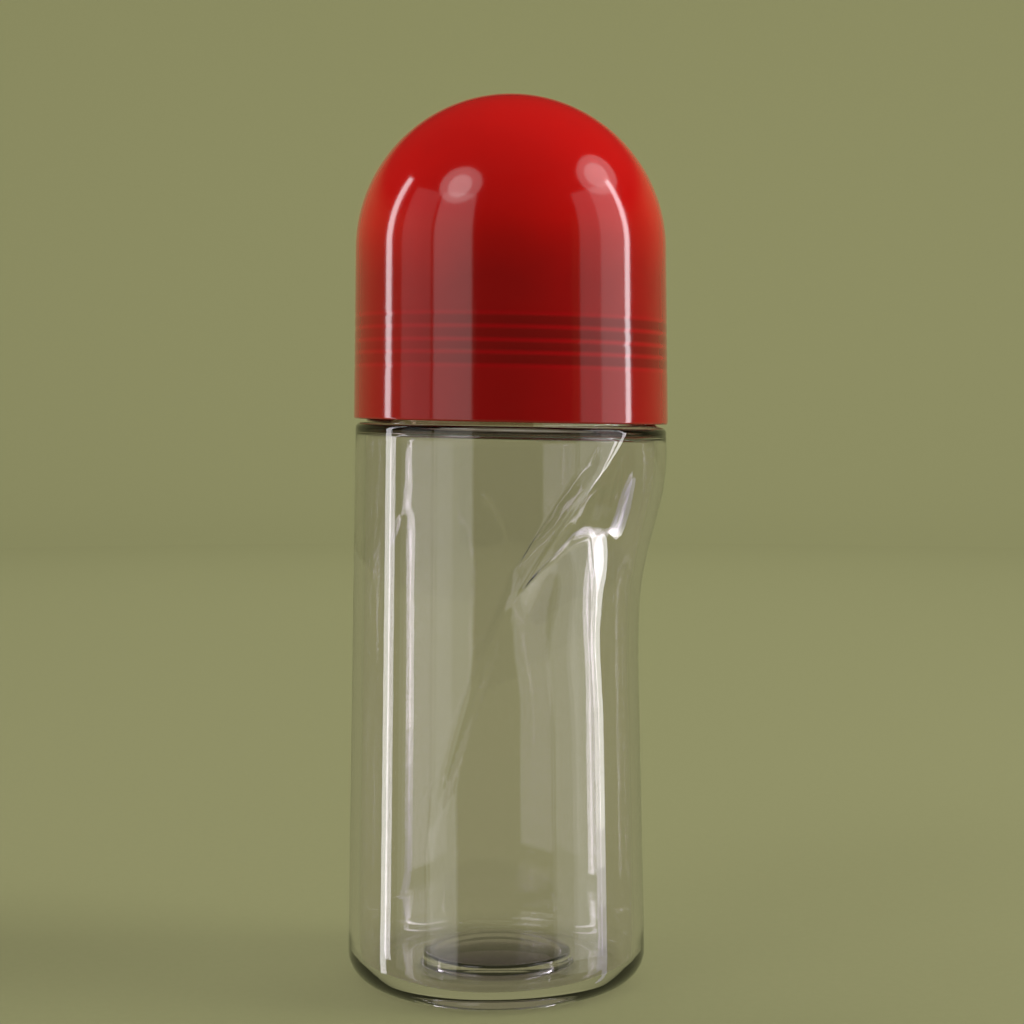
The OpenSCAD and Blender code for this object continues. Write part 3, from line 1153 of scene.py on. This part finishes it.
@dataclass
class Cap:
    """The domed screw cap, with the faint rings that its thread leaves on the outside."""

    rim_z: float = 69.5
    rim_r: float = 19.488
    dome_z: float = 90.6
    dome_r: float = 19.188
    rim_in_r: float = 18.188
    dome_in_r: float = 17.888
    bead_top_z: float = 89.8
    bead_h: float = 0.8
    bead_edge_r: float = 0.1
    bead_lift: float = 0.12
    thread_room: Pair = (0.3, 1.2)
    edge_r: float = 0.25
    rim_slope: float = 0.02
    ring_heights: tuple[float, ...] = RING_HEIGHTS
    ring_depth: float = 0.04
    ring_half_w: float = 0.27
    thread: Thread = Thread(start_z=76.0, depth=0.55)
    finish: DyedPlastic = DyedPlastic("glossy_red_plastic", (0.60, 0.006, 0.005), 0.09, ior=1.62, ripple_waves=50,
                                      ripple_height=0.012, rubs=0.4, rub_roughness=0.1, speck_share=0.05)

    def marks(self, turns: Array, radius: float, height: Array) -> Array:
        """Depth of the faint rings, which lean as the rim does.

        Args:
            turns: Turns of the points.
            radius: Radius of the wall there.
            height: Height of each point.

        Returns:
            The depth at each point.
        """
        depth = np.zeros_like(turns)
        for index, middle in enumerate(self.ring_heights):
            off = (height - middle + self.rim_slope * radius * np.cos(turns)) / self.ring_half_w
            fade = 0.75 + 0.25 * np.sin(turns * 2 + index * 1.7)
            depth += self.ring_depth * fade * np.exp(-off * off)
        return depth

    def build(self) -> bpy.types.Object:
        """Makes the cap's mesh, from the top of its inside down and round to the top of its outside.

        Returns:
            The cap.
        """
        poles = ((0, 0, self.dome_z + self.dome_in_r), (0, 0, self.dome_z + self.dome_r))
        turns = even_turns(240)
        skin = Skin("domed_screw_cap", turns, poles)
        skin.bend(0, self.dome_z, self.dome_in_r, (88, 0), 23)
        half, bead_low_z, edge = self.bead_h / 2, self.bead_top_z - self.bead_h, self.bead_edge_r
        skin.add(self.dome_in_r, self.bead_top_z + self.bead_lift)
        skin.add(self.dome_in_r - edge, self.bead_top_z)
        skin.bend(self.dome_in_r - edge, self.bead_top_z - half, half, (90, 270), 6)
        skin.add(self.dome_in_r, bead_low_z - edge)
        slope = -self.rim_slope * self.rim_r * np.cos(turns)
        for height in np.linspace(bead_low_z - self.thread_room[0], self.rim_z + self.thread_room[1], 84):
            wall_r = part_way(self.rim_in_r, self.dome_in_r, (height - self.rim_z) / (bead_low_z - self.rim_z))
            skin.add(wall_r - self.thread.rise(turns, height), height)
        foot_z, edge = self.rim_z + self.edge_r, self.edge_r
        skin.bend(self.rim_in_r + edge, foot_z + slope, edge, (180, 270), 4)
        skin.bend(self.rim_r - edge, foot_z + slope, edge, (-90, 0), 5)
        for share in np.linspace(0, 1, 118)[1:]:
            height = part_way(foot_z + slope, self.dome_z, share)
            wall_r = part_way(self.rim_r, self.dome_r, (height - self.rim_z) / (self.dome_z - self.rim_z))
            skin.add(wall_r - self.marks(turns, self.rim_r, height), height)
        top, steps = 89, 59
        skin.bend(0, self.dome_z, self.dome_r, (top / steps, top), steps - 1)
        return skin.build()


@dataclass(frozen=True)
class Lamp:
    """One soft lamp that faces the bottle.

    azimuth is counted from the camera's side towards +X, and elevation from level, both in degrees, seen from the
    point at aim_y and aim_z.
    """

    name: str
    azimuth: float
    elevation: float
    distance: float
    width: float
    height: float
    radiance: float
    colour: Colour = (1, 1, 1)
    shape: Shape = Shape.PANEL
    aim_z: float = 0.07
    aim_y: float = 0.0
    mirrored: bool = True

    def place(self) -> bpy.types.Object:
        """Makes the lamp.

        Returns:
            The lamp, hidden from the camera.
        """
        a, e = math.radians(self.azimuth), math.radians(self.elevation)
        way = Vector((math.sin(a) * math.cos(e), -math.cos(a) * math.cos(e), math.sin(e)))
        data = bpy.data.lights.new(self.name, "AREA")
        data.shape, data.size, data.size_y, data.color = self.shape.value, self.width, self.height, self.colour
        area = self.width * self.height * (1 if self.shape is Shape.PANEL else math.pi / 4)
        data.energy = math.pi * area * self.radiance
        lamp = place_object(self.name, data)
        lamp.location = Vector((0, self.aim_y, self.aim_z)) + way * self.distance
        lamp.rotation_euler = way.to_track_quat("Z", "Y").to_euler()
        lamp.visible_camera = False
        lamp.visible_glossy = lamp.visible_transmission = self.mirrored
        log.info("lamp %s at %.0f degrees round, %.0f up", self.name, self.azimuth, self.elevation)
        return lamp


@dataclass
class Studio:
    """A pale floor that rises into a round backdrop, a dark card in front, and soft lamps at both sides."""

    pale: Colour = (0.258, 0.258, 0.125)
    card_colour: Colour = (0.04, 0.039, 0.026)
    dim: Colour = (0.035, 0.034, 0.024)
    fade_low_z: float = 0.42
    soft_light: Colour = (0.33, 0.33, 0.33)
    floor_rings: tuple[float, ...] = (0.0001, 0.1, 0.3, 0.6)
    floor_r: float = 0.85
    bend_r: float = 0.45
    backdrop_top_z: float = 0.75
    floor_z: float = -0.00005
    card_r: float = 0.62
    card_low_z: float = -0.01
    card_high_z: float = 0.9
    card_turns: Pair = (-26, 44)
    grain_waves: float = 900
    grain_mix: Pair = (0.35, 0.65)
    grain_shade: float = 0.93
    horizon: Pair = (-0.05, 0.1)
    lamps: tuple[Lamp, ...] = (
        Lamp("strip_left", -98, 0, 0.40, 0.044, 0.50, 5.8, colour=(0.98, 0.95, 1.0), aim_z=0.135),
        Lamp("strip_right", 92, 0, 0.40, 0.036, 0.43, 7.6, colour=(0.99, 0.96, 1.0), aim_z=0.17),
        *(Lamp(f"strip_right_low_{index}", 92, 0, 0.40, 0.036, 0.012, radiance, colour=colour, aim_z=aim_z)
          for index, radiance, colour, aim_z in (
              (1, 5.6, (0.93, 0.89, 1.0), -0.051), (2, 4.1, (0.86, 0.81, 1.0), -0.063),
              (3, 3.1, (0.78, 0.72, 1.0), -0.075), (4, 2.4, (0.70, 0.64, 1.0), -0.087))),
        Lamp("strip_right_foot", 92, 0, 0.40, 0.036, 0.142, 2.0, colour=(0.62, 0.55, 1.0), aim_z=-0.164),
        Lamp("panel_left", -42, 0, 0.50, 0.26, 0.58, 0.85, aim_z=0.16),
        Lamp("panel_right", 69, 0, 0.50, 0.34, 0.58, 0.5, aim_z=0.16),
        Lamp("panel_right_rear", 79, 0, 0.49, 0.20, 0.58, 0.6, aim_z=0.16),
        Lamp("hood_left", -45, 41, 0.50, 0.26, 0.23, 1.3, shape=Shape.ROUND, aim_z=0.095),
        Lamp("hood_left_core", -45, 40, 0.49, 0.14, 0.14, 1.7, shape=Shape.ROUND, aim_z=0.095),
        Lamp("hood_right", 87, 41, 0.50, 0.32, 0.20, 1.1, shape=Shape.ROUND, aim_z=0.095),
        Lamp("hood_right_core", 86, 41, 0.49, 0.18, 0.12, 1.5, shape=Shape.ROUND, aim_z=0.095),
        Lamp("overhead", 150, 72, 0.80, 0.60, 0.60, 0.7, mirrored=False),
        Lamp("key_right", 81, 42, 0.80, 0.26, 0.26, 9.0, aim_z=0.05, mirrored=False),
        Lamp("fill_left", -82, 12, 0.80, 0.30, 0.40, 4.2, aim_z=0.08, mirrored=False),
        Lamp("fill_right", 82, 8, 0.80, 0.30, 0.40, 2.4, aim_z=0.08, mirrored=False),
        Lamp("wide_left", -72, 0, 0.52, 0.24, 0.58, 0.35, aim_z=0.16),
        Lamp("backdrop_wash", 8, 41, 1.06, 1.60, 0.40, 5.0, aim_y=1.3, aim_z=0.25, mirrored=False),
    )

    def paper(self, name: str, passed_by_reflections: bool) -> bpy.types.Material:
        """Makes the pale paper of the floor and the backdrop, with painted shade high on the backdrop.

        Args:
            name: Name of the material.
            passed_by_reflections: True where the lamps' lower ends are to show in the bottle through the paper.

        Returns:
            The material.
        """
        material, sheet = Sheet.material(name)
        grain = sheet.span(sheet.noise(sheet.place(), self.grain_waves, 3), *NOISE_RANGE, *self.grain_mix)
        shade = tuple(part * self.grain_shade for part in self.pale)
        # Painted shade: the paper darkens to the dim colour above fade_low_z, high on the backdrop.
        height = sheet.span(sheet.parts(sheet.place())["Z"], self.fade_low_z, self.backdrop_top_z, smooth=True)
        colour = sheet.mix(height, sheet.mix(grain, shade, self.pale), self.dim)
        surface = sheet.add("ShaderNodeBsdfDiffuse", colour).outputs[0]
        if passed_by_reflections:
            reflected = sheet.maths("GREATER_THAN", sheet.ray("Glossy Depth"), 0.5)
            surface = sheet.blend(reflected, surface, sheet.add("ShaderNodeBsdfTransparent").outputs[0])
        sheet.close(surface)
        return material

    @staticmethod
    def surface(name: str, rings: list[Array], material: bpy.types.Material) -> bpy.types.Object:
        """Makes an open surface through rings.

        Args:
            name: Name of the object.
            rings: Rings with the same number of points, in metres.
            material: Its material.

        Returns:
            The object, in the scene.
        """
        faces = quads_between(len(rings), len(rings[0]))[:, [0, 3, 2, 1]]
        made = place_mesh(name, np.concatenate(rings), faces.tolist())
        made.data.materials.append(material)
        return made

    def floor(self) -> bpy.types.Object:
        """Makes the floor."""
        rings = [ring(even_turns(96), radius, self.floor_z) for radius in (*self.floor_rings, self.floor_r)]
        return self.surface("floor", rings, self.paper("pale_floor_paper", True))

    def backdrop(self) -> bpy.types.Object:
        """Makes the backdrop, which bends up from the floor's edge.

        Returns:
            The backdrop.
        """
        rings = [ring(even_turns(96), self.floor_r + self.bend_r * out, self.floor_z + self.bend_r * (1 + up))
                 for out, up in corner(-90, 0, 16)]
        rings.append(ring(even_turns(96), self.floor_r + self.bend_r, self.backdrop_top_z))
        return self.surface("backdrop", rings, self.paper("pale_backdrop_paper", False))

    def dark_card(self) -> bpy.types.Object:
        """Makes the curved dark card behind the camera, which only reflections see.

        Returns:
            The card.
        """
        turns = np.radians(np.linspace(*self.card_turns, 15)) - math.pi / 2
        points = np.concatenate([ring(turns, self.card_r, height) for height in (self.card_low_z, self.card_high_z)])
        card = place_mesh("dark_card", points, quads_between(2, len(turns))[:-1].tolist(), smooth=False)
        material, sheet = Sheet.material("dark_felt")
        sheet.close(sheet.add("ShaderNodeBsdfDiffuse", self.card_colour).outputs[0])
        card.data.materials.append(material)
        card.visible_camera = card.visible_diffuse = card.visible_shadow = False
        return card

    def room(self) -> bpy.types.World:
        """Makes the room: a soft light from all round, seen as pale paper below and dark above.

        Returns:
            The world.
        """
        world = bpy.data.worlds.new("room")
        world.use_nodes = True
        sheet = Sheet(world.node_tree)
        around = sheet.parts(sheet.add("ShaderNodeTexCoord").outputs["Generated"])
        seen = sheet.mix(sheet.span(around["Z"], *self.horizon, smooth=True), self.pale, self.dim)
        back = sheet.add("ShaderNodeBackground", sheet.mix(sheet.ray("Is Diffuse Ray"), seen, self.soft_light))
        sheet.add("ShaderNodeOutputWorld", back.outputs[0])
        return world

    def place(self) -> None:
        """Sets up the floor, the backdrop, the card, the lamps and the room."""
        self.floor()
        self.backdrop()
        self.dark_card()
        for lamp in self.lamps:
            lamp.place()
        bpy.context.scene.world = self.room()
        bpy.context.scene.view_settings.view_transform = "Standard"


@dataclass(frozen=True)
class View:
    """The photograph's camera: a long lens, just above the middle of the bottle."""

    place_m: Point = (0.00014, -0.2616, 0.0711)
    pitch_down: float = 2.82
    focal_px: float = 2100.0
    frame_px: float = 1024.0
    sensor_mm: float = 36.0
    clip: Pair = (0.01, 10)

    def place(self) -> None:
        """Makes the camera and puts it to use."""
        data = bpy.data.cameras.new("camera")
        data.sensor_width = self.sensor_mm
        data.lens = self.focal_px / self.frame_px * self.sensor_mm
        data.clip_start, data.clip_end = self.clip
        camera = place_object("camera", data)
        camera.location = self.place_m
        camera.rotation_euler = (math.radians(90 - self.pitch_down), 0, 0)
        bpy.context.scene.camera = camera


def main() -> None:
    """Builds the bottle's pieces in order, then the studio and the camera."""
    logging.basicConfig(level=logging.INFO, format="%(name)s: %(message)s")
    groups = SurfaceGroups()
    for part, body, node, slot in (
        (Bottle(), "bottle_body", "bottle", "bottle_clear"),
        (BallHousing(), "bottle_body", "ball_housing", "housing_natural"),
        (RollerBall(), "roller_ball", "roller_ball", "ball_white"),
        (CapLiner(), "cap_liner", "cap_liner", "liner_natural"),
        (Cap(), "cap", "cap", "cap_red"),
    ):
        dress(part.build(), part.finish, groups, body, node)
    Studio().place()
    View().place()


if __name__ == "__main__":
    main()
